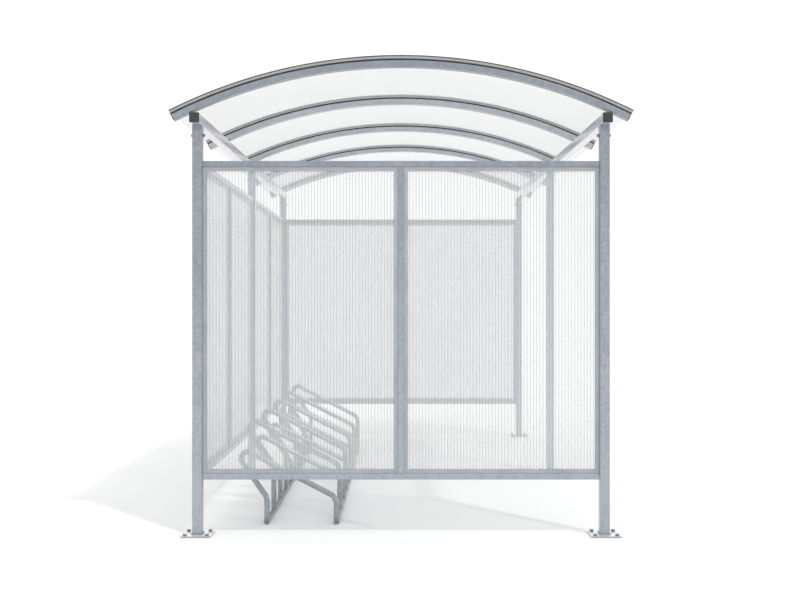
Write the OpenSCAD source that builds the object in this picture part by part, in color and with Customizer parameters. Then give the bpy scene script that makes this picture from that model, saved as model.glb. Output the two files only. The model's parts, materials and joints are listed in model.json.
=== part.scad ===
// Bike shelter: an open frame of galvanised square tube with an arched sheet roof,
// sheet walls on both ends and along the left side, an open right side and a floor rack.
// The origin is on the ground at the centre of the roof, X is across, Y is along, Z is up.

/* [Overall] */
// Width over the outer faces of the posts
frame_width = 2100; // [1700:10:2600]
// Length over the outer faces of the end posts
frame_length = 4125; // [3400:5:5200]
// Height of the top of the eave beams above the ground
eave_height = 2115; // [1960:5:2600]

/* [Posts] */
// Side of the square tube of the posts and eave beams
post_side = 50; // [40:1:80]
// Side of the square base plate
plate_side = 150; // [130:5:200]
// Thickness of the base plate
plate_thickness = 8; // [5:1:15]
// Distance between neighbouring anchor holes
anchor_spacing = 110; // [100:1:118]
// Diameter of the anchor holes
anchor_hole = 14; // [10:1:14]

/* [Eave beams] */
// How far a beam runs past the end posts, cap included
beam_overhang = 78; // [40:1:160]
// Thickness of the plastic end caps of the beams and arches
cap_thickness = 4; // [2:1:8]

/* [Roof] */
// Rise of the arch underside from the beams' top to the crown
arch_rise = 229; // [150:1:400]
// How far the tips of the cover strips stand out past the posts' outer faces
roof_overhang = 103.5; // [60:0.5:250]
// Width of the flat arch tube along the shelter
arch_width = 60; // [40:1:90]
// Radial height of the arch tube
arch_height = 30; // [20:1:50]
// Thickness of the rubber gasket on the arches
gasket_thickness = 7; // [3:1:12]
// Thickness of the roof sheets
roof_sheet_thickness = 10; // [6:1:16]
// Thickness of the cover strip that clamps the sheets
cover_thickness = 8; // [4:1:12]
// Thickness of the lip that closes each end of the roof under the cover strip
cover_lip = 3; // [2:1:6]
// Width of the glazing bar between two roof sheets, under a cover strip
glazing_bar_width = 26; // [4:1:30]
// Room between a glazing bar and the sheet beside it
glazing_bar_play = 2; // [1:0.5:4]

/* [Walls] */
// Height of the lower edge of the walls above the ground
wall_bottom = 281; // [150:1:500]
// Distance from the upper edge of the walls up to the eave beams
wall_clearance = 180; // [60:1:500]
// Side of the square tube of the rails and mullions
rail_side = 30; // [24:1:38]
// Thickness of the wall sheets
wall_sheet_thickness = 10; // [6:1:14]
// How far the glazing channel laps over the sheet, its web included
channel_lap = 20; // [14:1:30]
// Wall thickness of the glazing channel
channel_wall = 2; // [1:0.5:3]
// Room between a sheet's edge and the channel's web
sheet_play = 2; // [1:0.5:4]

/* [Rack] */
// Diameter of the hoop tube
hoop_tube = 30; // [20:1:38]
// Diameter of the two floor rails
rack_rail_tube = 27; // [20:1:34]
// Number of hoops, low and high in turn
hoop_count = 10; // [4:1:10]
// Distance from one hoop to the next
hoop_pitch = 320; // [220:5:330]
// Distance from the front post's face to the first hoop
rack_start = 305; // [200:5:500]
// Distance of the outer floor rail from the left posts' outer faces
outer_rail_inset = 340; // [320:5:420]
// Distance from one floor rail to the other
rack_rail_spacing = 369; // [300:1:460]
// Height of the bend in the legs of a low hoop
low_bend = 140; // [110:5:180]
// Height of the bend in the legs of a high hoop
high_bend = 265; // [200:5:350]
// Rise of the long leg from the level, in degrees
long_leg_rise = 27.5; // [24:0.5:30]
// Rise of the short leg from the level, in degrees
short_leg_rise = 55; // [52:0.5:60]
// Bend radius of the legs, on the tube's centre line
leg_bend_radius = 60; // [40:1:70]
// Bend radius of the hoop's head, on the tube's centre line
head_bend_radius = 35; // [30:1:40]
// How far a floor rail runs past the end hoops
rack_rail_end = 20; // [16:1:60]

/* [Hidden] */
$fn = 64;

steel = "#9aa2a8";
aluminium = "#a9acae";
rubber = "#2c2e30";
plastic = "#38393b";
sheet_tint = "#eef1f2";

// A gap that lets two pieces sit on each other without sharing material
seat = 0.2;
// How much thicker a bend is than the straight tube, and how far the straight runs into it
bend_swell = 0.2;
bend_overlap = 1;
arch_count = 5;
post_x = (frame_width - post_side) / 2;
post_pitch = (frame_length - post_side) / 2;
beam_length = frame_length + 2 * beam_overhang;
post_top = eave_height - post_side;

// The arch's underside passes just over the outer top edge of each beam
half_span = frame_width / 2;
arch_radius = (half_span * half_span + arch_rise * arch_rise) / (2 * arch_rise);
arch_centre_z = eave_height + arch_rise - arch_radius + seat;
arch_pitch = (beam_length - arch_width) / (arch_count - 1);
roof_sheet_gap = glazing_bar_width + 2 * glazing_bar_play;
gasket_radius = arch_radius + arch_height + seat;
sheet_radius = gasket_radius + gasket_thickness;
cover_radius = sheet_radius + roof_sheet_thickness;
roof_half_angle = asin((half_span + roof_overhang) / (cover_radius + cover_thickness));
// Angles on the roof's curve that the end caps of the arches and the gap behind them take
cap_angle = cap_thickness / arch_radius * 180 / PI;
cap_gap_angle = seat / arch_radius * 180 / PI;
cap_start_angle = roof_half_angle - cap_angle;
arch_half_angle = cap_start_angle - cap_gap_angle;

// One wall bay: the clear width between two posts and the height between the rails
end_bay = frame_width - 2 * post_side;
side_bay = post_pitch - post_side;
wall_top = post_top - wall_clearance;
panel_low = wall_bottom + rail_side;
panel_high = wall_top - rail_side;
channel_depth = wall_sheet_thickness + 2 * channel_wall;
end_wall_y = (frame_length - post_side) / 2;

outer_rail_x = frame_width / 2 - outer_rail_inset;
inner_rail_x = outer_rail_x - rack_rail_spacing;
first_hoop_y = -frame_length / 2 + rack_start;
last_hoop_y = first_hoop_y + (hoop_count - 1) * hoop_pitch;

function unit(v) = v / norm(v);
function heading(p, q) = unit(q - p);
function turn_of(p, q, r) = acos(heading(p, q) * heading(q, r));
function turns_left(p, q, r) = cross(heading(p, q), heading(q, r)) > 0;
function side_of(v, left) = left ? [-v[1], v[0]] : [v[1], -v[0]];

// A box given by its centre in X and Y and by its lowest and highest Z
module upright(x, y, z_low, z_high, size_x, size_y) {
    translate([x - size_x / 2, y - size_y / 2, z_low])
        cube([size_x, size_y, z_high - z_low]);
}

// A band of the roof's curve: it starts at a radius, runs along Y from y_low
// and reaches from one angle off the crown to another, to the right if positive
module roof_band(radius, thickness, y_low, width, from = -roof_half_angle, to = roof_half_angle) {
    translate([0, y_low + width, arch_centre_z])
        rotate([90, 0, 0])
            rotate([0, 0, 90 - to])
                rotate_extrude(angle = to - from, $fn = 360)
                    translate([radius, 0])
                        square([thickness, width]);
}

function post_y(row) = (row - 1) * post_pitch;
function arch_y(index) = -beam_length / 2 + arch_width / 2 + index * arch_pitch;

module post(side, row) {
    color(steel)
        upright(side * post_x, post_y(row), plate_thickness, post_top, post_side, post_side);
}

module base_plate(side, row) {
    difference() {
        upright(side * post_x, post_y(row), 0, plate_thickness, plate_side, plate_side);
        for (dx = [-1, 1]) {
            for (dy = [-1, 1]) {
                translate([
                    side * post_x + dx * anchor_spacing / 2,
                    post_y(row) + dy * anchor_spacing / 2,
                    -1
                ])
                    cylinder(d = anchor_hole, h = plate_thickness + 2);
            }
        }
    }
}

module base_plates(side) {
    color(steel)
        for (row = [0:2]) {
            base_plate(side, row);
        }
}

module eave_beam(side) {
    color(steel)
        upright(side * post_x, 0, post_top, eave_height, post_side, beam_length - 2 * cap_thickness);
}

module beam_end_caps() {
    for (side = [-1, 1]) {
        for (end = [-1, 1]) {
            upright(
                side * post_x, end * (beam_length - cap_thickness) / 2,
                post_top, eave_height, post_side, cap_thickness
            );
        }
    }
}

module roof_arch(index) {
    color(steel)
        roof_band(
            arch_radius, arch_height, arch_y(index) - arch_width / 2, arch_width,
            -arch_half_angle, arch_half_angle
        );
}

module arch_end_caps() {
    for (index = [0:arch_count - 1]) {
        low_y = arch_y(index) - arch_width / 2;
        roof_band(arch_radius, arch_height, low_y, arch_width, -roof_half_angle, -cap_start_angle);
        roof_band(arch_radius, arch_height, low_y, arch_width, cap_start_angle, roof_half_angle);
    }
}

module tube_end_caps() {
    color(plastic) {
        beam_end_caps();
        arch_end_caps();
    }
}

module roof_gaskets() {
    color(rubber)
        for (index = [0:arch_count - 1]) {
            roof_band(gasket_radius, gasket_thickness, arch_y(index) - arch_width / 2, arch_width);
        }
}

module roof_sheet(index) {
    color(sheet_tint, 0.6)
        roof_band(
            sheet_radius, roof_sheet_thickness,
            arch_y(index) + roof_sheet_gap / 2, arch_pitch - roof_sheet_gap
        );
}

// Bars stand on the gaskets between the sheets, and a thin lip closes each end of the roof
module glazing_bars() {
    color(aluminium) {
        for (index = [0:arch_count - 1]) {
            bar_y = arch_y(index) - glazing_bar_width / 2;
            roof_band(sheet_radius, roof_sheet_thickness, bar_y, glazing_bar_width);
        }
        for (end = [-1, 1]) {
            lip_y = end * (beam_length - cover_lip) / 2 - cover_lip / 2;
            roof_band(sheet_radius, roof_sheet_thickness, lip_y, cover_lip);
        }
    }
}

module cover_strip(index) {
    color(aluminium)
        roof_band(cover_radius, cover_thickness, arch_y(index) - arch_width / 2, arch_width);
}

// Walls are drawn along X about the origin, with the outside towards -Y, and then placed
module bay_rails(bay) {
    upright(0, 0, wall_bottom, panel_low, bay, rail_side);
    upright(0, 0, panel_high, wall_top, bay, rail_side);
}

module bay_mullion() {
    upright(0, 0, panel_low, panel_high, rail_side, rail_side);
}

function panel_width(bay) = (bay - rail_side) / 2;
function panel_x(bay, side) = side * (rail_side + panel_width(bay)) / 2;

// A channel of U section with its web on the ground plane and its mouth upwards
module channel(length) {
    difference() {
        upright(0, 0, 0, channel_lap, length, channel_depth);
        upright(0, 0, channel_wall, channel_lap + 1, length + 2, wall_sheet_thickness);
    }
}

module panel_channels(bay, side) {
    width = panel_width(bay);
    height = panel_high - panel_low;
    middle_z = (panel_low + panel_high) / 2;
    translate([panel_x(bay, side), 0, 0]) {
        for (end = [0, 1]) {
            translate([0, 0, middle_z])
                rotate([0, 180 * end, 0])
                    translate([0, 0, -height / 2])
                        channel(width - 2 * (channel_lap + seat));
            translate([0, 0, middle_z])
                rotate([0, 90 + 180 * end, 0])
                    translate([0, 0, -width / 2])
                        channel(height);
        }
    }
}

module bay_channels(bay) {
    for (side = [-1, 1]) {
        panel_channels(bay, side);
    }
}

module bay_sheets(bay) {
    edge = channel_wall + sheet_play;
    for (side = [-1, 1]) {
        upright(
            panel_x(bay, side), 0, panel_low + edge, panel_high - edge,
            panel_width(bay) - 2 * edge, wall_sheet_thickness
        );
    }
}

module at_front() {
    translate([0, -end_wall_y, 0])
        children();
}

module at_rear() {
    translate([0, end_wall_y, 0])
        rotate([0, 0, 180])
            children();
}

module at_left(bay_index) {
    translate([-post_x, (bay_index - 0.5) * post_pitch, 0])
        rotate([0, 0, -90])
            children();
}

module front_wall_rails() {
    color(steel) at_front() bay_rails(end_bay);
}

module rear_wall_rails() {
    color(steel) at_rear() bay_rails(end_bay);
}

module left_wall_rails() {
    color(steel)
        for (bay_index = [0, 1]) {
            at_left(bay_index) bay_rails(side_bay);
        }
}

module front_wall_mullion() {
    color(steel) at_front() bay_mullion();
}

module rear_wall_mullion() {
    color(steel) at_rear() bay_mullion();
}

module left_wall_mullions() {
    color(steel)
        for (bay_index = [0, 1]) {
            at_left(bay_index) bay_mullion();
        }
}

module front_wall_channels() {
    color(aluminium) at_front() bay_channels(end_bay);
}

module rear_wall_channels() {
    color(aluminium) at_rear() bay_channels(end_bay);
}

module left_wall_channels(bay_index) {
    color(aluminium) at_left(bay_index) bay_channels(side_bay);
}

module front_wall_sheets() {
    color(sheet_tint, 0.6) at_front() bay_sheets(end_bay);
}

module rear_wall_sheets() {
    color(sheet_tint, 0.6) at_rear() bay_sheets(end_bay);
}

module left_wall_sheets(bay_index) {
    color(sheet_tint, 0.6) at_left(bay_index) bay_sheets(side_bay);
}

// Tubes in the XZ plane: points and directions are pairs of X and Z
module straight_tube(p, q, diameter) {
    direction = heading(p, q);
    translate([p[0], 0, p[1]])
        rotate([0, atan2(direction[0], direction[1]), 0])
            cylinder(d = diameter, h = norm(q - p));
}

module bent_tube(p, q, r, radius, diameter) {
    left = turns_left(p, q, r);
    turn = turn_of(p, q, r);
    reach = radius * tan(turn / 2);
    into = heading(p, q);
    out = heading(q, r);
    centre = q - into * reach + side_of(into, left) * radius;
    first_spoke = left ? -side_of(into, left) : -side_of(out, left);
    translate([centre[0], 0, centre[1]])
        rotate([90, 0, 0])
            rotate([0, 0, atan2(first_spoke[1], first_spoke[0])])
                rotate_extrude(angle = turn)
                    translate([radius, 0])
                        circle(d = diameter + bend_swell);
}

// A tube along corner points, with a bend radius for each inner corner
module tube_along(points, radii, diameter) {
    last = len(points) - 1;
    trims = [
        for (i = [0:last])
            i == 0 || i == last
                ? 0
                : radii[i - 1] * tan(turn_of(points[i - 1], points[i], points[i + 1]) / 2) - bend_overlap
    ];
    union() {
        for (i = [0:last - 1]) {
            along = heading(points[i], points[i + 1]);
            straight_tube(
                points[i] + along * trims[i],
                points[i + 1] - along * trims[i + 1],
                diameter
            );
        }
        for (i = [1:last - 1]) {
            bent_tube(points[i - 1], points[i], points[i + 1], radii[i - 1], diameter);
        }
    }
}

// Where the two slanting legs would meet if the head had no bend
head_overhang = rack_rail_spacing * tan(long_leg_rise) / (tan(short_leg_rise) - tan(long_leg_rise));
head_rise = head_overhang * tan(short_leg_rise);

module hoop(bend_height) {
    rail_z = rack_rail_tube / 2;
    points = [
        [-inner_rail_x, rail_z],
        [-inner_rail_x, bend_height],
        [-outer_rail_x - head_overhang, bend_height + head_rise],
        [-outer_rail_x, bend_height],
        [-outer_rail_x, rail_z]
    ];
    difference() {
        tube_along(points, [leg_bend_radius, head_bend_radius, leg_bend_radius], hoop_tube);
        for (x = [-inner_rail_x, -outer_rail_x]) {
            translate([x, hoop_tube, rail_z])
                rotate([90, 0, 0])
                    cylinder(d = rack_rail_tube + 2 * seat, h = 2 * hoop_tube);
        }
    }
}

module hoop_row(first, bend_height) {
    color(steel)
        for (index = [first:2:hoop_count - 1]) {
            translate([0, first_hoop_y + index * hoop_pitch, 0])
                hoop(bend_height);
        }
}

module rack_rail(x) {
    color(steel)
        translate([-x, last_hoop_y + rack_rail_end, rack_rail_tube / 2])
            rotate([90, 0, 0])
                cylinder(d = rack_rail_tube, h = last_hoop_y - first_hoop_y + 2 * rack_rail_end);
}

post(-1, 0);  // post_front_left
post(-1, 1);  // post_middle_left
post(-1, 2);  // post_rear_left
post(1, 0);  // post_front_right
post(1, 1);  // post_middle_right
post(1, 2);  // post_rear_right
base_plates(-1);  // base_plates_left
base_plates(1);  // base_plates_right
eave_beam(-1);  // eave_beam_left
eave_beam(1);  // eave_beam_right
tube_end_caps();
roof_arch(0);  // roof_arch_1
roof_arch(1);  // roof_arch_2
roof_arch(2);  // roof_arch_3
roof_arch(3);  // roof_arch_4
roof_arch(4);  // roof_arch_5
roof_gaskets();
glazing_bars();
roof_sheet(0);  // roof_sheet_1
roof_sheet(1);  // roof_sheet_2
roof_sheet(2);  // roof_sheet_3
roof_sheet(3);  // roof_sheet_4
cover_strip(0);  // cover_strip_1
cover_strip(1);  // cover_strip_2
cover_strip(2);  // cover_strip_3
cover_strip(3);  // cover_strip_4
cover_strip(4);  // cover_strip_5
front_wall_rails();
rear_wall_rails();
left_wall_rails();
front_wall_mullion();
rear_wall_mullion();
left_wall_mullions();
front_wall_channels();
rear_wall_channels();
left_wall_channels(0);  // left_wall_channels_front
left_wall_channels(1);  // left_wall_channels_rear
front_wall_sheets();
rear_wall_sheets();
left_wall_sheets(0);  // left_wall_sheets_front
left_wall_sheets(1);  // left_wall_sheets_rear
rack_rail(outer_rail_x);  // rack_rail_outer
rack_rail(inner_rail_x);  // rack_rail_inner
hoop_row(0, low_bend);  // rack_hoops_low
hoop_row(1, high_bend);  // rack_hoops_high
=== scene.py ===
import json
import math

import bmesh
import bpy
from mathutils import Matrix, Vector


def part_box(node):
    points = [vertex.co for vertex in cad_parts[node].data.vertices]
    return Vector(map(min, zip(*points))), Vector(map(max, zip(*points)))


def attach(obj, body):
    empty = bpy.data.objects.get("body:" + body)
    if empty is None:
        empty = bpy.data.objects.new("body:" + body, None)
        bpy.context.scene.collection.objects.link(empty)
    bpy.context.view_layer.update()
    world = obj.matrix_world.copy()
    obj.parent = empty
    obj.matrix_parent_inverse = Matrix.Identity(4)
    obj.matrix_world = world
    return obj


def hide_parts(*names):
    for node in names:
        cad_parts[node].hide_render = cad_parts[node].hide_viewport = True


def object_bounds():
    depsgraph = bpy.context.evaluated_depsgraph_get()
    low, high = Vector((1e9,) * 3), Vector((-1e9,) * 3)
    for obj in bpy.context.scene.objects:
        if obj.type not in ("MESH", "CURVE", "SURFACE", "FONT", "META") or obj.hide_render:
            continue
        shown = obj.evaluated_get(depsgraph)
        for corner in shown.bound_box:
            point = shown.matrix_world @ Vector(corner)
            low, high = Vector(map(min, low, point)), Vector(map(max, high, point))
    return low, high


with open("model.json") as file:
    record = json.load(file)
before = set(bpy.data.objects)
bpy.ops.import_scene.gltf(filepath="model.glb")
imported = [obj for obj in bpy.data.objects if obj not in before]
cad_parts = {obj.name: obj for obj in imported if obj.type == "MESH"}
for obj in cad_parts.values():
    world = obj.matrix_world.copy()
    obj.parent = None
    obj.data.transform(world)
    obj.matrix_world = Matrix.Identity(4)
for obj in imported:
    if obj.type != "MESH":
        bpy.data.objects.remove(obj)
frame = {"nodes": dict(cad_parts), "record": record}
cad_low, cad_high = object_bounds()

scene = bpy.context.scene
UP = Vector((0, 0, 1))
SIDES = {"left": -1, "right": 1}
ROWS = ("front", "middle", "rear")
ARCHES = range(1, 6)
ROOF_SHEETS = range(1, 5)
ROOF_STEPS = 96
TINY = 1e-5
SMOOTH_ANGLE = math.radians(35)

# Rounded corners of the tubes, from the rolling of the steel
POST_CORNER = 0.0045
RAIL_CORNER = 0.003
ARCH_CORNER = 0.0035
TUBE_SEGMENTS = 3

# Rack tube and its bends, on the tube's centre line
HOOPS_IN_ROW = 5
HOOP_TUBE = 0.030
LEG_BEND = 0.060
HEAD_BEND = 0.035
LOW_HOOP = 0.140
HIGH_HOOP = 0.265
LONG_LEG_RISE = math.radians(27.5)
SHORT_LEG_RISE = math.radians(55)
RACK_RAIL_RIM = 0.002
RACK_BEAD = 0.0024
RACK_BEAD_SINK = 0.0004
RACK_BEAD_STEPS = 28

# Base plates, the welds at the posts' feet and the plastic plugs in the tubes' ends
PLATE_CORNER = 0.006
PLATE_RIM = 0.0012
FOOT_WELD = 0.006
NEAR_POST = 0.2
BEAM_CAP_RIM = 0.0016
ARCH_CAP_RIM = 0.0012
ARCH_CAP_LIP = 0.0002

# Washers as (radius, thickness, sides), heads and nuts as (width across flats, height)
ANCHOR_WASHER = (0.0115, 0.002, 24)
ANCHOR_HEAD = (0.018, 0.0075)
POST_WASHER = (0.0105, 0.002, 24)
POST_HEAD = (0.0165, 0.0055)
POST_NUT = (0.0165, 0.0075)
COVER_WASHER = (0.008, 0.0016, 20)
COVER_HEAD = (0.008, 0.0045)
WASHER_RIM = 0.0005
NUT_RIM_SHARE = 0.14
BOLT_HEIGHT = 2.014
BOLT_END_START = 0.009
BOLT_END_RADIUS = 0.005
BOLT_END_LENGTH = 0.004
BOLT_END_RIM = 0.0008
SCREW_PLACES = (-1.11, -0.57, 0.0, 0.57, 1.11)

# The section of a cover strip, as (depth under its top, distance in from its edge)
COVER_EDGE = 0.0006
COVER_SECTION = ((0.0022, COVER_EDGE), (0.0008, 0.0014), (0.0008, 0.005), (0.0018, 0.0062),
                 (0.0008, 0.0074), (0.0, 0.013), (0.0, 0.021))

# Gaskets, glazing bars, and the lips and seals at the roof's two ends
GASKET_GROOVE = 0.0015
BAR_PLAY = 0.002
BAR_BEAD = 0.0016
BAR_STEP = 0.0008
TRIM_REACH = 0.0055
TRIM_THICKNESS = 0.003
TRIM_FOOT = 0.002
TRIM_LOW_EDGE = 0.0006
TRIM_HIGH_EDGE = 0.0008
SEAL_DEPTH = 0.004
SEAL_LIFT = 0.0012
SEAL_PLAY = 0.0002
SEAL_CORNER = 0.0012

# Floor, light and camera
FLOOR_REACH = 60.0
FLOOR_TONES = ((0.85, 0.85, 0.85, 1), (0.87, 0.87, 0.87, 1))
SKY_STRENGTH = 1.17
SUN_STRENGTH = 0.7
SUN_WIDTH = math.radians(3)
SUN_DIRECTION = (-0.42, 0.52, -1.0)
EYE_DISTANCE = 5.502
EYE_HEIGHT = 1.185
LENS_SHIFT = -0.00125


# ---------------------------------------------------------------- finishes

FLUTE_PITCH = 0.016
DIE_LINES = (1.5, 900, 1.5)
BRUSHED = (420, 420, 420)
FROST_FINENESS = 2.7
# Painted light: below this height the zinc is painted paler, standing in for light from the floor
PAINTED_LIGHT_BELOW = 1.2

# A colour Mix node's sockets, by number because its names repeat
MIX_SHARE, MIX_FIRST, MIX_SECOND, MIX_RESULT = 0, 6, 7, 2


def tone(red, green, blue):
    """A colour given as on a paint card, 0 to 255, made linear."""
    linear = []
    for value in (red, green, blue):
        share = value / 255
        linear.append(share / 12.92 if share <= 0.04045 else ((share + 0.055) / 1.055) ** 2.4)
    return (*linear, 1.0)


class Number:
    """A node's output; Python's operators on it add Math nodes."""

    def __init__(self, finish, socket):
        self.finish = finish
        self.socket = socket

    def apply(self, operation, *values):
        return self.finish.node("ShaderNodeMath", {"operation": operation}, dict(enumerate(values)))

    def __add__(self, other):
        return self.apply("ADD", self, other)

    def __radd__(self, other):
        return self.apply("ADD", other, self)

    def __sub__(self, other):
        return self.apply("SUBTRACT", self, other)

    def __rsub__(self, other):
        return self.apply("SUBTRACT", other, self)

    def __mul__(self, other):
        return self.apply("MULTIPLY", self, other)

    def __rmul__(self, other):
        return self.apply("MULTIPLY", other, self)

    def __truediv__(self, other):
        return self.apply("DIVIDE", self, other)

    def __pow__(self, other):
        return self.apply("POWER", self, other)

    def __abs__(self):
        return self.apply("ABSOLUTE", self)

    def fraction(self):
        return self.apply("FRACT", self)

    def sway(self, amount):
        """The value's swing about its middle, a half, at a given strength."""
        return (self - 0.5) * amount


class Finish:
    """A material in the making; every node comes from its node method."""

    def __init__(self, name):
        self.material = bpy.data.materials.new(name)
        self.material.use_nodes = True
        self.tree = self.material.node_tree
        self.tree.nodes.clear()

    def node(self, kind, settings=None, inputs=None, output=0):
        made = self.tree.nodes.new(kind)
        for key, value in (settings or {}).items():
            setattr(made, key, value)
        for key, value in (inputs or {}).items():
            if isinstance(value, Number):
                self.tree.links.new(value.socket, made.inputs[key])
            else:
                made.inputs[key].default_value = value
        return Number(self, made.outputs[output]) if made.outputs else made

    def place(self, stretch=(1, 1, 1)):
        place = self.node("ShaderNodeTexCoord", output="Object")
        return self.node("ShaderNodeMapping", inputs={"Vector": place, "Scale": stretch})

    def noise(self, place, scale, detail=2.0, roughness=0.5):
        return self.node("ShaderNodeTexNoise", inputs={
            "Vector": place, "Scale": scale, "Detail": detail, "Roughness": roughness})

    def cells(self, place, scale):
        """A random number for each crystal."""
        colour = self.node("ShaderNodeTexVoronoi", inputs={"Vector": place, "Scale": scale},
                           output="Color")
        return self.node("ShaderNodeSeparateColor", inputs={"Color": colour})

    def smooth(self, value, low, high):
        return self.node("ShaderNodeMapRange", {"interpolation_type": "SMOOTHSTEP"},
                         {"Value": value, "From Min": low, "From Max": high})

    def mixed(self, share, first, second):
        return self.node("ShaderNodeMix", {"data_type": "RGBA"},
                         {MIX_SHARE: share, MIX_FIRST: first, MIX_SECOND: second},
                         output=MIX_RESULT)

    def bump(self, height, depth, strength=1.0):
        return self.node("ShaderNodeBump", inputs={
            "Height": height, "Distance": depth, "Strength": strength})

    def surface(self, **sockets):
        inputs = {key.replace("_", " "): value for key, value in sockets.items()}
        shader = self.node("ShaderNodeBsdfPrincipled", inputs=inputs)
        self.node("ShaderNodeOutputMaterial", inputs={"Surface": shader})
        return self.material


def galvanised(name, dark, light, metal=0.55, gloss=0.38, spangle=62.0, painted_floor_light=0.0,
               skin_gloss=0.2):
    """Hot-dip zinc: crystals of slightly different grey, clouds, runs and a thin clear skin.

    Spangle is the fineness of the crystals. The height term is painted light: it makes the zinc
    paler towards the ground, as light from the floor would.
    """
    finish = Finish(name)
    place = finish.place()
    drift = finish.noise(place, 34.0, 3.0)
    bent = finish.node("ShaderNodeVectorMath", {"operation": "MULTIPLY_ADD"},
                       {0: drift, 1: (0.012, 0.012, 0.012), 2: place})
    crystal = finish.cells(bent, spangle)
    frost = finish.cells(bent, spangle * FROST_FINENESS)
    cloud = finish.noise(place, 4.5, 5.0, 0.6)
    grain = finish.noise(place, 420.0, 2.0)
    runs = finish.noise(finish.place((38, 38, 1.6)), 1.0, 3.0)
    height = finish.node("ShaderNodeSeparateXYZ", inputs={"Vector": place}, output="Z")
    # The last term is painted light: the zinc is painted paler towards the ground
    shade = (0.5 + crystal.sway(0.24) + frost.sway(0.18) + cloud.sway(0.5) + runs.sway(0.3)
             + grain.sway(0.2) + (PAINTED_LIGHT_BELOW - height) * painted_floor_light)
    return finish.surface(
        Base_Color=finish.mixed(finish.smooth(shade, 0.0, 1.0), dark, light),
        Metallic=metal,
        Roughness=gloss + frost.sway(0.14) + cloud.sway(0.2),
        Coat_Weight=0.8, Coat_Roughness=skin_gloss, Coat_IOR=1.6,
        Normal=finish.bump(crystal * 0.25 + frost * 0.15 + grain * 0.5 + cloud, 0.00025, 0.6))


def extruded(name, dark, light, lines, metal=0.7, gloss=0.4, painted_glow=0.0):
    """Mill-finish aluminium with fine die lines along its length.

    The glow is painted light, an emission standing in for the light that the sheets pipe along to
    the bars between them.
    """
    finish = Finish(name)
    place = finish.place()
    die = finish.noise(finish.place(lines), 1.0, 4.0, 0.65)
    cloud = finish.noise(place, 7.0, 4.0)
    grain = finish.noise(place, 600.0, 1.0)
    shade = 0.5 + die.sway(1.1) + cloud.sway(0.6)
    return finish.surface(
        Base_Color=finish.mixed(finish.smooth(shade, 0.0, 1.0), dark, light),
        Metallic=metal,
        Roughness=gloss + die.sway(0.25) + cloud.sway(0.1),
        # painted glow: the metal gives off light in its light tone
        Emission_Color=light, Emission_Strength=painted_glow,
        Normal=finish.bump(die + grain * 0.2, 0.00012, 0.5))


def moulded(name, dark, light, gloss, grain_scale, depth):
    """Black plastic or rubber with a fine moulded grain."""
    finish = Finish(name)
    place = finish.place()
    grain = finish.noise(place, grain_scale, 3.0)
    pits = finish.cells(place, grain_scale * 1.6)
    dust = finish.noise(place, 16.0, 5.0, 0.6)
    return finish.surface(
        Base_Color=finish.mixed(finish.smooth(dust + grain.sway(0.4), 0.25, 0.8), dark, light),
        Roughness=gloss + dust.sway(0.2),
        Normal=finish.bump(grain + pits * 0.5, depth, 0.6))


def multiwall(name, across, clear, rib, skin, shadow, gleam=0.65):
    """Translucent twin-wall sheet: clear skins over ribs that run along its flutes.

    Clear and rib are how solid the sheet looks between its ribs and on them. Gleam is how far it
    closes up at a glancing angle.
    """
    finish = Finish(name)
    place = finish.place()
    axes = finish.node("ShaderNodeSeparateXYZ", inputs={"Vector": place}, output=across)
    cell = (axes / FLUTE_PITCH + 0.25).fraction()
    near_rib = abs(cell - 0.5) * 2.0
    line = finish.smooth(near_rib, 0.45, 0.95)
    haze = finish.noise(place, 2.2, 4.0, 0.6)
    streaks = finish.noise(finish.place((90, 90, 1.2) if across != "Y" else (1.2, 90, 1.2)),
                           1.0, 3.0)
    grain = finish.noise(place, 350.0, 2.0)
    body = clear + (rib - clear) * line + haze.sway(0.05) + streaks.sway(0.05)
    shine = finish.node("ShaderNodeLayerWeight", inputs={"Blend": 0.5}, output="Facing") ** 5.0
    return finish.surface(
        Base_Color=finish.mixed(line * 0.85 + streaks.sway(0.3), skin, shadow),
        Roughness=0.24 + grain.sway(0.12) + line * 0.1,
        Alpha=body + (1.0 - body) * shine * gleam,
        IOR=1.45,
        Normal=finish.bump(line + grain * 0.05, 0.0006, 0.35))


# Frame and rail zinc carry painted light from the floor: they are painted paler towards the ground
frame_zinc = galvanised("frame_zinc", tone(120, 128, 138), tone(160, 167, 173), painted_floor_light=0.26)
rail_zinc = galvanised("rail_zinc", tone(118, 126, 136), tone(160, 167, 174), painted_floor_light=0.26)
# Painted light: arches 2 to 5 get paler zinc than the front arch, standing in for the light that
# the roof lets in
arch_zinc_painted_light = galvanised("arch_zinc_painted_light", tone(152, 158, 165), tone(192, 197, 202))
# Painted light: the beams get paler zinc than the posts, standing in for the light on their inner
# faces
beam_zinc_painted_light = galvanised("beam_zinc_painted_light", tone(170, 176, 182), tone(208, 212, 216), skin_gloss=0.08)
# Painted reflection: the plates' tops are painted much paler than the frame, standing in for their
# glancing reflection
plate_zinc_painted_reflection = galvanised("plate_zinc_painted_reflection", tone(206, 210, 214), tone(238, 240, 242), skin_gloss=0.05)
rack_zinc = galvanised("rack_zinc", tone(124, 131, 138), tone(166, 172, 178), 0.75, 0.3, 90.0)
floor_rail_zinc = galvanised("floor_rail_zinc", tone(92, 99, 106), tone(130, 137, 144), 0.6, 0.42,
                             90.0, skin_gloss=0.4)
bolt_zinc = galvanised("bolt_zinc", tone(96, 102, 108), tone(138, 144, 150), 0.7, 0.34, 420.0)
weld_zinc = galvanised("weld_zinc", tone(104, 112, 120), tone(144, 151, 158), 0.5, 0.5, 300.0)
cover_metal = extruded("cover_metal", tone(168, 170, 171), tone(192, 194, 195), DIE_LINES)
trim_metal = extruded("trim_metal", tone(146, 147, 147), tone(172, 173, 172), DIE_LINES)
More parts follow.
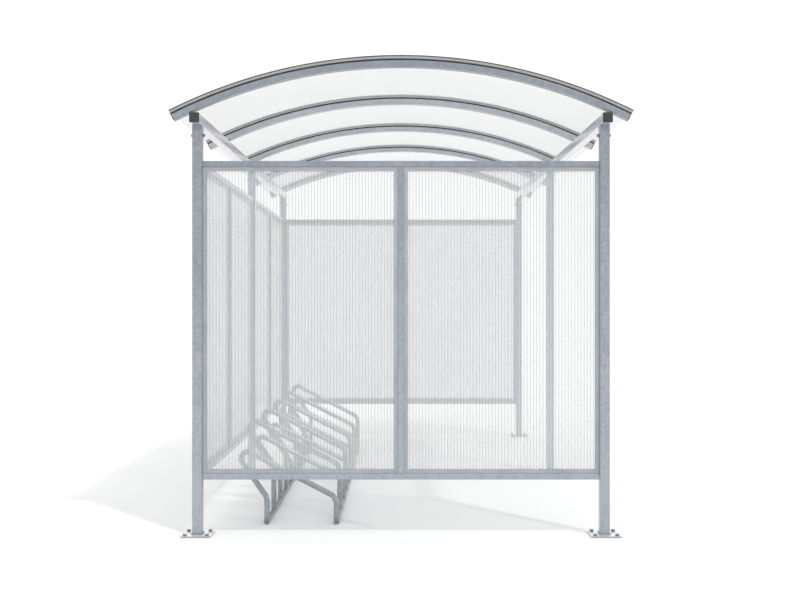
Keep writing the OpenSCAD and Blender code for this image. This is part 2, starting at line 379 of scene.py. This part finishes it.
# Painted glow: the glazing bars glow though they are no lamp
bar_metal_painted_glow = extruded("bar_metal_painted_glow", tone(205, 208, 210), tone(228, 230, 231), DIE_LINES, 0.25,
                     painted_glow=0.36)
channel_metal = extruded("channel_metal", tone(140, 146, 151), tone(184, 189, 193), BRUSHED,
                         gloss=0.45)
gasket_rubber = moulded("gasket_rubber", tone(34, 35, 36), tone(64, 66, 68), 0.62, 700.0, 0.0002)
cap_plastic = moulded("cap_plastic", tone(30, 31, 32), tone(58, 60, 62), 0.5, 900.0, 0.0002)
seal_rubber = moulded("seal_rubber", tone(58, 59, 60), tone(84, 85, 86), 0.6, 700.0, 0.0002)
wall_skin, wall_shadow = tone(220, 221, 222), tone(170, 172, 174)
end_wall_sheet = multiwall("end_wall_sheet", "X", 0.31, 0.44, wall_skin, wall_shadow)
side_wall_sheet = multiwall("side_wall_sheet", "Y", 0.31, 0.42, wall_skin, wall_shadow)
roof_sheet = multiwall("roof_sheet", "Y", 0.16, 0.24, tone(196, 197, 198), tone(180, 182, 183),
                       gleam=0.15)


# ---------------------------------------------------------------- making pieces


def new_piece(name, bm, material, replaces=(), rounded=True):
    """Turns a bmesh into a piece that rides with the shelter."""
    bmesh.ops.remove_doubles(bm, verts=bm.verts, dist=1e-6)
    bmesh.ops.recalc_face_normals(bm, faces=bm.faces)
    mesh = bpy.data.meshes.new(name)
    bm.to_mesh(mesh)
    bm.free()
    mesh.materials.append(material)
    mesh.shade_smooth()
    mesh.set_sharp_from_angle(angle=SMOOTH_ANGLE)
    piece = bpy.data.objects.new(name, mesh)
    scene.collection.objects.link(piece)
    if rounded:
        even = piece.modifiers.new("even_shading", "WEIGHTED_NORMAL")
        even.keep_sharp = True
    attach(piece, "root")
    if replaces:
        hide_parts(*replaces)
    return piece


def add_block(bm, low, high):
    verts = bmesh.ops.create_cube(bm, size=1.0)["verts"]
    bmesh.ops.scale(bm, vec=high - low, verts=verts)
    bmesh.ops.translate(bm, vec=(low + high) / 2, verts=verts)
    return verts


def edges_of(verts):
    """Every edge at the given corners, once each and always in the same order."""
    return list(dict.fromkeys(edge for vert in verts for edge in vert.link_edges))


def edges_along(verts, axis):
    """The edges of a straight block that run along an axis."""
    return [edge for edge in edges_of(verts)
            if abs(edge.verts[0].co[axis] - edge.verts[1].co[axis]) > TINY]


def round_edges(bm, edges, radius, segments=TUBE_SEGMENTS):
    return bmesh.ops.bevel(bm, geom=edges, offset=radius, offset_type="OFFSET",
                           segments=segments, profile=0.5, affect="EDGES", material=-1,
                           clamp_overlap=True)


def add_tube(bm, low, high, along, radius):
    """A square tube in its box, with the edges along its length rounded."""
    low, high = Vector(low), Vector(high)
    verts = add_block(bm, low, high)
    round_edges(bm, edges_along(verts, along), radius)


def facing(centre, axis):
    """The transform that stands a flat ring or rod at a centre along an axis."""
    turn = UP.rotation_difference(Vector(axis)).to_matrix().to_4x4()
    return Matrix.Translation(centre) @ turn


def add_disc(bm, base, axis, radius, height, sides=20, rim=0.0):
    """A disc, rod or hexagon that stands on its base along an axis."""
    axis = Vector(axis).normalized()
    middle = Vector(base) + axis * height / 2
    verts = bmesh.ops.create_cone(bm, cap_ends=True, cap_tris=False, segments=sides,
                                  radius1=radius, radius2=radius, depth=height,
                                  matrix=facing(middle, axis))["verts"]
    if rim:
        top = [edge for edge in edges_of(verts)
               if all((vert.co - middle).dot(axis) > 0 for vert in edge.verts)]
        round_edges(bm, top, rim, 2)


def add_fixing(bm, base, axis, washer, head):
    """A hexagon head or nut on its washer."""
    radius, thickness, sides = washer
    across_flats, height = head
    axis = Vector(axis)
    add_disc(bm, base, axis, radius, thickness, sides, WASHER_RIM)
    add_disc(bm, base + axis * thickness, axis, across_flats / math.sqrt(3), height, sides=6,
             rim=height * NUT_RIM_SHARE)


def close_ends(bm):
    open_edges = [edge for edge in bm.edges if edge.is_boundary]
    bmesh.ops.holes_fill(bm, edges=open_edges, sides=0)


def post_box(row, side):
    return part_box(f"post_{row}_{side}")


# ---------------------------------------------------------------- posts and plates


def make_posts():
    for row in ROWS:
        for side in SIDES:
            node = f"post_{row}_{side}"
            bm = bmesh.new()
            add_tube(bm, *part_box(node), 2, POST_CORNER)
            new_piece(f"tube_{node}", bm, frame_zinc, [node])


def make_plates():
    """Base plates with rounded corners, with a painted reflection: bright on top and greyer round
    their cut edges.
    """
    for side in SIDES:
        node = f"base_plates_{side}"
        bm = bmesh.new()
        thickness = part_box(node)[1].z
        plate_half = (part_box(node)[1].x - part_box(node)[0].x) / 2
        for row in ROWS:
            low, high = post_box(row, side)
            middle = (low + high) / 2
            half = Vector((plate_half, plate_half, 0))
            verts = add_block(bm, Vector((middle.x, middle.y, 0)) - half,
                              Vector((middle.x, middle.y, thickness)) + half)
            round_edges(bm, edges_along(verts, 2), PLATE_CORNER)
        rim = [edge for edge in bm.edges
               if all(vert.co.z > thickness - TINY for vert in edge.verts)]
        round_edges(bm, rim, PLATE_RIM, 2)
        piece = new_piece(f"plates_{side}", bm, plate_zinc_painted_reflection, [node])
        # tops take the painted reflection, cut edges the frame zinc
        piece.data.materials.append(frame_zinc)
        for face in piece.data.polygons:
            face.material_index = 0 if face.normal.z > 0.5 else 1


def make_foot_welds():
    """A fillet of weld round each post's foot."""
    bm = bmesh.new()
    reach = Vector((FOOT_WELD, FOOT_WELD, 0))
    for side in SIDES:
        plate_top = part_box(f"base_plates_{side}")[1].z
        weld_top = plate_top + FOOT_WELD
        for row in ROWS:
            low, high = post_box(row, side)
            verts = add_block(bm, Vector((low.x, low.y, plate_top)) - reach,
                              Vector((high.x, high.y, weld_top)) + reach)
            round_edges(bm, edges_along(verts, 2), POST_CORNER + FOOT_WELD * 0.8)
            top = [edge for edge in bm.edges
                   if all(vert.co.z > weld_top - TINY for vert in edge.verts)
                   and (edge.verts[0].co - low).length < NEAR_POST]
            round_edges(bm, top, FOOT_WELD * 0.8, 3)
    new_piece("foot_welds", bm, weld_zinc)


def make_anchors():
    """A low hexagon anchor screw on its washer in every hole of the plates."""
    bm = bmesh.new()
    for mount in frame["record"]["mounts"]:
        if mount["kind"] != "bolt_pattern":
            continue
        side = "left" if mount["pos_m"][0] < 0 else "right"
        plate_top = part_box(f"base_plates_{side}")[1].z
        reach_x = mount["dims"]["spacing_x_mm"] / 2000
        reach_y = mount["dims"]["spacing_y_mm"] / 2000
        for dx in (-reach_x, reach_x):
            for dy in (-reach_y, reach_y):
                foot = Vector((mount["pos_m"][0] + dx, mount["pos_m"][1] + dy, plate_top))
                add_fixing(bm, foot, UP, ANCHOR_WASHER, ANCHOR_HEAD)
    new_piece("anchor_bolts", bm, bolt_zinc, rounded=False)


def make_post_bolts():
    """A bolt through the top of each post, its head outside and its nut inside."""
    bm = bmesh.new()
    for side, sign in SIDES.items():
        for row in ROWS:
            low, high = post_box(row, side)
            outward = Vector((sign, 0, 0))
            middle = Vector(((low.x + high.x) / 2, (low.y + high.y) / 2, BOLT_HEIGHT))
            half = (high.x - low.x) / 2
            outer, inner = middle + outward * half, middle - outward * half
            add_fixing(bm, outer, outward, POST_WASHER, POST_HEAD)
            add_fixing(bm, inner, -outward, POST_WASHER, POST_NUT)
            add_disc(bm, inner - outward * BOLT_END_START, -outward, BOLT_END_RADIUS,
                     BOLT_END_LENGTH, 16, BOLT_END_RIM)
    new_piece("post_bolts", bm, bolt_zinc, rounded=False)


# ---------------------------------------------------------------- eave beams


def make_beams():
    for side in SIDES:
        node = f"eave_beam_{side}"
        bm = bmesh.new()
        add_tube(bm, *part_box(node), 1, POST_CORNER)
        new_piece(f"tube_{node}", bm, beam_zinc_painted_light, [node])


def make_beam_caps():
    """Plastic plugs with rounded faces in the ends of the eave beams."""
    bm = bmesh.new()
    caps_low, caps_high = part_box("tube_end_caps")
    for side in SIDES:
        low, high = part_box(f"eave_beam_{side}")
        for beam_end, cap_end in ((low.y, caps_low.y), (high.y, caps_high.y)):
            verts = add_block(bm, Vector((low.x, min(beam_end, cap_end), low.z)),
                              Vector((high.x, max(beam_end, cap_end), high.z)))
            round_edges(bm, edges_along(verts, 1), POST_CORNER)
            face = [edge for edge in bm.edges
                    if all(abs(vert.co.y - cap_end) < TINY
                           and low.x - TINY < vert.co.x < high.x + TINY for vert in edge.verts)]
            round_edges(bm, face, BEAM_CAP_RIM, 2)
    new_piece("beam_caps", bm, cap_plastic, ["tube_end_caps"])


# ---------------------------------------------------------------- roof


def roof_curve():
    """The roof's centre, half angle and layer radii, from the tips of its layers."""
    gasket_low, gasket_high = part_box("roof_gaskets")
    sheet_low, sheet_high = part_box("roof_sheet_2")
    cover_low, cover_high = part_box("cover_strip_3")
    arch_low, arch_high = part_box("roof_arch_3")
    half_angle = math.atan2(sheet_high.x - gasket_high.x, cover_low.z - sheet_low.z)
    sine, cosine = math.sin(half_angle), math.cos(half_angle)
    curve = {"half_angle": half_angle}
    curve["sheet_top"] = sheet_high.x / sine
    curve["centre"] = Vector((0, 0, cover_low.z - curve["sheet_top"] * cosine))
    curve["gasket_top"] = gasket_high.x / sine
    curve["cover_top"] = cover_high.x / sine
    curve["arch_top"] = (gasket_low.z - curve["centre"].z) / cosine
    curve["tube_angle"] = math.asin(arch_high.x / curve["arch_top"])
    curve["arch_under"] = (arch_low.z - curve["centre"].z) / math.cos(curve["tube_angle"])
    return curve


ROOF = roof_curve()


def add_outline(bm, low_radius, high_radius, low_y, high_y, corner):
    """A rounded rectangle across the roof's curve, at the crown, ready to be swept."""
    made = bmesh.ops.create_grid(bm, x_segments=1, y_segments=1, size=0.5)["verts"]
    bmesh.ops.scale(bm, vec=(high_radius - low_radius, high_y - low_y, 1), verts=made)
    bmesh.ops.translate(bm, verts=made, vec=((low_radius + high_radius) / 2,
                                             (low_y + high_y) / 2, 0))
    if corner:
        bmesh.ops.bevel(bm, geom=made, offset=corner, offset_type="OFFSET",
                        segments=TUBE_SEGMENTS, profile=0.5, affect="VERTICES", material=-1)


def swept(bm, start, end, steps=ROOF_STEPS):
    """Sweeps an outline along the roof's curve, from one angle off the crown to another."""
    bmesh.ops.delete(bm, geom=list(bm.faces), context="FACES_ONLY")
    bmesh.ops.rotate(bm, cent=(0, 0, 0), verts=bm.verts,
                     matrix=Matrix.Rotation(start - math.pi / 2, 3, "Y"))
    bmesh.ops.translate(bm, vec=ROOF["centre"], verts=bm.verts)
    bmesh.ops.spin(bm, geom=list(bm.verts) + list(bm.edges), cent=ROOF["centre"],
                   axis=(0, 1, 0), dvec=(0, 0, 0), angle=end - start, steps=steps,
                   use_merge=False, use_normal_flip=False, use_duplicate=False)
    close_ends(bm)
    return bm


def swept_band(points):
    """A band over the whole roof, from its section's (radius, y) points."""
    bm = bmesh.new()
    bm.faces.new([bm.verts.new((radius, y, 0)) for radius, y in points])
    return swept(bm, -ROOF["half_angle"], ROOF["half_angle"])


def both_halves(points, middle):
    """A whole section from the (radius, y) points of its rear half."""
    whole = points + [(radius, -y) for radius, y in reversed(points)]
    return [(radius, middle + y) for radius, y in whole]


def joined(parts):
    """One bmesh from several."""
    whole = bmesh.new()
    for part in parts:
        mesh = bpy.data.meshes.new("part")
        part.to_mesh(mesh)
        part.free()
        whole.from_mesh(mesh)
        bpy.data.meshes.remove(mesh)
    return whole


def make_arches():
    for number in ARCHES:
        node = f"roof_arch_{number}"
        low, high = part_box(node)
        bm = bmesh.new()
        add_outline(bm, ROOF["arch_under"], ROOF["arch_top"], low.y, high.y, ARCH_CORNER)
        swept(bm, -ROOF["tube_angle"], ROOF["tube_angle"])
        # arches 2 to 5 take the zinc with painted light
        new_piece(f"tube_{node}", bm,
                  frame_zinc if number == 1 else arch_zinc_painted_light, [node])


def make_arch_caps():
    """Thin plastic plugs in the ends of the arches."""
    parts = []
    for number in ARCHES:
        low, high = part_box(f"roof_arch_{number}")
        for sign in (-1, 1):
            bm = bmesh.new()
            add_outline(bm, ROOF["arch_under"] - ARCH_CAP_LIP, ROOF["arch_top"], low.y, high.y,
                        ARCH_CORNER)
            swept(bm, sign * ROOF["tube_angle"], sign * ROOF["half_angle"], 2)
            tip = ROOF["half_angle"] - TINY
            face = [edge for edge in bm.edges if all(
                math.atan2(abs(vert.co.x), vert.co.z - ROOF["centre"].z) > tip
                for vert in edge.verts)]
            round_edges(bm, face, ARCH_CAP_RIM, 2)
            parts.append(bm)
    new_piece("arch_caps", joined(parts), cap_plastic, ["tube_end_caps"])


def make_gaskets():
    """A black seal on each arch, with a groove along both of its edges."""
    parts = []
    inner, outer = ROOF["arch_top"], ROOF["gasket_top"]
    third = (outer - inner) / 3
    for number in ARCHES:
        low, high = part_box(f"roof_arch_{number}")
        half = (high.y - low.y) / 2
        section = [(inner, half), (inner + third, half), (inner + third, half - GASKET_GROOVE),
                   (outer - third, half - GASKET_GROOVE), (outer - third, half), (outer, half)]
        parts.append(swept_band(both_halves(section, (low.y + high.y) / 2)))
    new_piece("gasket_bands", joined(parts), gasket_rubber, ["roof_gaskets"],
              rounded=False)


def make_roof_sheets():
    for number in ROOF_SHEETS:
        node = f"roof_sheet_{number}"
        low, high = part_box(node)
        bm = bmesh.new()
        add_outline(bm, ROOF["gasket_top"], ROOF["sheet_top"], low.y, high.y, 0)
        swept(bm, -ROOF["half_angle"], ROOF["half_angle"])
        new_piece(f"panel_{node}", bm, roof_sheet, [node], rounded=False)


def make_cover_strips():
    """Clamp strips with a crowned back over the sheets' edges."""
    under, top = ROOF["sheet_top"], ROOF["cover_top"]
    for number in ARCHES:
        node = f"cover_strip_{number}"
        low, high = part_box(f"roof_arch_{number}")
        middle, half = (low.y + high.y) / 2, (high.y - low.y) / 2
        section = [(under, half - COVER_EDGE)]
        section += [(top - depth, half - inset) for depth, inset in COVER_SECTION]
        bm = swept_band(both_halves(section, middle))
        new_piece(f"clamp_{node}", bm, cover_metal, [node], rounded=False)


def make_glazing_bars():
    """Light bars between the sheets, with a bead along their upper and lower edges and a painted
    glow.
    """
    under, top = ROOF["gasket_top"], ROOF["sheet_top"]
    half = (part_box("roof_sheet_2")[0].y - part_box("roof_sheet_1")[1].y) / 2 - BAR_PLAY
    neck = half - BAR_STEP
    section = [(under, half), (under + BAR_BEAD, half), (under + BAR_BEAD + BAR_STEP, neck),
               (top - BAR_BEAD - BAR_STEP, neck), (top - BAR_BEAD, half), (top, half)]
    parts = []
    for number in ARCHES:
        low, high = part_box(f"roof_arch_{number}")
        parts.append(swept_band(both_halves(section, (low.y + high.y) / 2)))
    new_piece("sheet_bars", joined(parts), bar_metal_painted_glow, ["glazing_bars"],
              rounded=False)


def make_edge_trims():
    """The lips and seals that close the sheets' outer edges at both ends of the roof."""
    under, top = ROOF["gasket_top"], ROOF["sheet_top"]
    for name, number, outward in (("front", 1, -1), ("rear", 5, 1)):
        low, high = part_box(f"roof_arch_{number}")
        face = low.y if outward < 0 else high.y
        section = [(under, TRIM_REACH), (under, TRIM_LOW_EDGE), (under + TRIM_LOW_EDGE, 0),
                   (top - TRIM_HIGH_EDGE, 0), (top, TRIM_HIGH_EDGE), (top, TRIM_THICKNESS),
                   (under + TRIM_FOOT, TRIM_THICKNESS), (under + TRIM_FOOT, TRIM_REACH)]
        bm = swept_band([(radius, face - inset * outward) for radius, inset in section])
        new_piece(f"edge_trim_{name}", bm, trim_metal, ["glazing_bars"],
                  rounded=False)
        bead = bmesh.new()
        inner, outer = sorted((face, face - SEAL_DEPTH * outward))
        add_outline(bead, top + SEAL_LIFT, ROOF["cover_top"] - SEAL_PLAY, inner, outer,
                    SEAL_CORNER)
        swept(bead, -ROOF["half_angle"], ROOF["half_angle"])
        new_piece(f"edge_seal_{name}", bead, seal_rubber, rounded=False)


def make_cover_screws():
    """Hexagon screws on sealing washers along each cover strip."""
    bm = bmesh.new()
    for number in ARCHES:
        low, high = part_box(f"roof_arch_{number}")
        for across in SCREW_PLACES:
            angle = math.asin(across / ROOF["cover_top"])
            outward = Vector((math.sin(angle), 0, math.cos(angle)))
            foot = ROOF["centre"] + outward * ROOF["cover_top"]
            foot.y = (low.y + high.y) / 2
            add_fixing(bm, foot, outward, COVER_WASHER, COVER_HEAD)
    new_piece("cover_screws", bm, bolt_zinc, rounded=False)


# ---------------------------------------------------------------- walls


def make_rails():
    """Top and bottom rails of the three walls; the left wall has two bays."""
    for node, along in (("front_wall_rails", 0), ("rear_wall_rails", 0), ("left_wall_rails", 1)):
        low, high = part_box(node)
        side = min(high.x - low.x, high.y - low.y)
        bays = [(low, high)]
        if along == 1:
            post_low, post_high = post_box("middle", "left")
            bays = [(low, Vector((high.x, post_low.y, high.z))),
                    (Vector((low.x, post_high.y, low.z)), high)]
        bm = bmesh.new()
        for bay_low, bay_high in bays:
            add_tube(bm, bay_low, (bay_high.x, bay_high.y, bay_low.z + side), along, RAIL_CORNER)
            add_tube(bm, (bay_low.x, bay_low.y, bay_high.z - side), bay_high, along, RAIL_CORNER)
        new_piece(f"tube_{node}", bm, rail_zinc, [node])


def mullion_boxes(node):
    """One box for each mullion of a node."""
    low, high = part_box(node)
    if node != "left_wall_mullions":
        return [(low, high)]
    side = high.x - low.x
    return [(low, Vector((high.x, low.y + side, high.z))),
            (Vector((low.x, high.y - side, low.z)), high)]


def make_mullions():
    for node in ("front_wall_mullion", "rear_wall_mullion", "left_wall_mullions"):
        bm = bmesh.new()
        for low, high in mullion_boxes(node):
            add_tube(bm, low, high, 2, RAIL_CORNER)
        new_piece(f"tube_{node}", bm, rail_zinc, [node])


def dress_walls():
    """The channels and sheets keep their shape and get their finish."""
    finishes = {
        "front_wall_channels": channel_metal, "rear_wall_channels": channel_metal,
        "left_wall_channels_front": channel_metal, "left_wall_channels_rear": channel_metal,
        "front_wall_sheets": end_wall_sheet, "rear_wall_sheets": end_wall_sheet,
        "left_wall_sheets_front": side_wall_sheet, "left_wall_sheets_rear": side_wall_sheet,
    }
    for node, material in finishes.items():
        for slot in frame["nodes"][node].material_slots:
            slot.material = material


# ---------------------------------------------------------------- rack


def turn_between(before, after):
    return math.acos(max(-1.0, min(1.0, before.dot(after))))


def add_bent_tube(bm, corners, bends, diameter, sides=24, bend_steps=10):
    """A round tube along corner points, with a bend radius for each inner corner."""
    legs = [(end - start).normalized() for start, end in zip(corners, corners[1:])]
    made = bmesh.ops.create_circle(bm, cap_ends=False, segments=sides, radius=diameter / 2,
                                   matrix=facing(corners[0], legs[0]))["verts"]
    ring = edges_of(made)
    place = corners[0].copy()
    for index, leg in enumerate(legs):
        last = index == len(legs) - 1
        reach = 0.0 if last else bends[index] * math.tan(turn_between(leg, legs[index + 1]) / 2)
        stop = corners[index + 1] - leg * reach
        grown = bmesh.ops.extrude_edge_only(bm, edges=ring)["geom"]
        verts = [item for item in grown if isinstance(item, bmesh.types.BMVert)]
        bmesh.ops.translate(bm, vec=stop - place, verts=verts)
        ring = [item for item in grown if isinstance(item, bmesh.types.BMEdge)
                and all(vert in verts for vert in item.verts)]
        place = stop
        if last:
            break
        following = legs[index + 1]
        axis = leg.cross(following).normalized()
        centre = place + axis.cross(leg) * bends[index]
        turned = bmesh.ops.spin(bm, geom=verts + ring, cent=centre, axis=axis, dvec=(0, 0, 0),
                                angle=turn_between(leg, following), steps=bend_steps,
                                use_merge=False, use_normal_flip=False,
                                use_duplicate=False)["geom_last"]
        ring = [item for item in turned if isinstance(item, bmesh.types.BMEdge)]
        place = corners[index + 1] + following * reach
    close_ends(bm)


def hoop_places(node):
    """Where along the rack the hoops of a row stand."""
    low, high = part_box(node)
    first, last = low.y + HOOP_TUBE / 2, high.y - HOOP_TUBE / 2
    return [first + (last - first) * index / (HOOPS_IN_ROW - 1) for index in range(HOOPS_IN_ROW)]


def make_hoops():
    """Ten bent hoops, low and high in turn, on the two floor rails."""
    outer_low, outer_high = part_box("rack_rail_outer")
    inner_low, inner_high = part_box("rack_rail_inner")
    rail_height = outer_high.z / 2
    outer_x, inner_x = (outer_low.x + outer_high.x) / 2, (inner_low.x + inner_high.x) / 2
    spacing = inner_x - outer_x
    long_slope, short_slope = math.tan(LONG_LEG_RISE), math.tan(SHORT_LEG_RISE)
    overhang = spacing * long_slope / (short_slope - long_slope)
    rise = overhang * short_slope
    for node, bend in (("rack_hoops_low", LOW_HOOP), ("rack_hoops_high", HIGH_HOOP)):
        parts = []
        for y in hoop_places(node):
            corners = [Vector((inner_x, y, rail_height)), Vector((inner_x, y, bend)),
                       Vector((outer_x - overhang, y, bend + rise)), Vector((outer_x, y, bend)),
                       Vector((outer_x, y, rail_height))]
            bm = bmesh.new()
            add_bent_tube(bm, corners, [LEG_BEND, HEAD_BEND, LEG_BEND], HOOP_TUBE)
            parts.append(bm)
        new_piece(f"tube_{node}", joined(parts), rack_zinc, [node], rounded=False)


def make_rack_rails():
    for node in ("rack_rail_outer", "rack_rail_inner"):
        low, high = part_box(node)
        bm = bmesh.new()
        radius = (high.z - low.z) / 2
        foot = Vector(((low.x + high.x) / 2, low.y, low.z + radius))
        verts = bmesh.ops.create_cone(
            bm, cap_ends=True, cap_tris=False, segments=32, radius1=radius, radius2=radius,
            depth=high.y - low.y,
            matrix=facing(foot + Vector((0, (high.y - low.y) / 2, 0)), (0, 1, 0)))["verts"]
        ends = [edge for edge in edges_of(verts)
                if abs(edge.verts[0].co.y - edge.verts[1].co.y) < TINY]
        round_edges(bm, ends, RACK_RAIL_RIM)
        new_piece(f"tube_{node}", bm, floor_rail_zinc, [node])


def make_rack_welds():
    """A bead of weld round each hoop's foot, where it meets the floor rail."""
    bm = bmesh.new()
    for rail in ("rack_rail_outer", "rack_rail_inner"):
        low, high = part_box(rail)
        centre_x, height = (low.x + high.x) / 2, high.z / 2
        for node in ("rack_hoops_low", "rack_hoops_high"):
            for y in hoop_places(node):
                centre = Vector((centre_x, y, height))
                start = centre + Vector((HOOP_TUBE / 2 - RACK_BEAD_SINK, 0, 0))
                bead = bmesh.ops.create_circle(bm, cap_ends=False, segments=8, radius=RACK_BEAD,
                                               matrix=facing(start, (0, 1, 0)))["verts"]
                bmesh.ops.spin(bm, geom=bead + edges_of(bead), cent=centre, axis=UP,
                               dvec=(0, 0, 0), angle=math.tau, steps=RACK_BEAD_STEPS,
                               use_merge=True, use_normal_flip=False, use_duplicate=False)
    new_piece("rack_welds", bm, weld_zinc, rounded=False)


# ---------------------------------------------------------------- floor, light and camera


def make_stage():
    bm = bmesh.new()
    bmesh.ops.create_grid(bm, x_segments=1, y_segments=1, size=FLOOR_REACH)
    mesh = bpy.data.meshes.new("floor")
    bm.to_mesh(mesh)
    bm.free()
    floor = bpy.data.objects.new("floor", mesh)
    scene.collection.objects.link(floor)
    finish = Finish("pale_floor")
    cloud = finish.noise(finish.place(), 0.6, 3.0)
    mesh.materials.append(finish.surface(
        Base_Color=finish.mixed(cloud, *FLOOR_TONES), Roughness=0.95))


def make_light():
    world = bpy.data.worlds.new("studio")
    world.use_nodes = True
    scene.world = world
    background = world.node_tree.nodes["Background"]
    background.inputs["Color"].default_value = (1.0, 1.0, 1.0, 1.0)
    background.inputs["Strength"].default_value = SKY_STRENGTH
    sun = bpy.data.lights.new("key_light", "SUN")
    sun.energy = SUN_STRENGTH
    sun.angle = SUN_WIDTH
    lamp = bpy.data.objects.new("key_light", sun)
    lamp.rotation_euler = Vector(SUN_DIRECTION).to_track_quat("-Z", "Y").to_euler()
    scene.collection.objects.link(lamp)


def make_camera():
    lens = bpy.data.cameras.new("camera")
    lens.lens = 50.0
    lens.sensor_width = 36.0
    lens.shift_x = LENS_SHIFT
    lens.clip_end = 200.0
    camera = bpy.data.objects.new("camera", lens)
    camera.location = (0.0, cad_low.y - EYE_DISTANCE, EYE_HEIGHT)
    camera.rotation_euler = (math.radians(90), 0, 0)
    scene.collection.objects.link(camera)
    scene.camera = camera


scene.view_settings.view_transform = "Standard"
make_camera()
make_posts()
make_plates()
make_foot_welds()
make_anchors()
make_post_bolts()
make_beams()
make_beam_caps()
make_arches()
make_arch_caps()
make_gaskets()
make_roof_sheets()
make_glazing_bars()
make_cover_strips()
make_edge_trims()
make_cover_screws()
make_rails()
make_mullions()
dress_walls()
make_hoops()
make_rack_rails()
make_rack_welds()
make_stage()
make_light()
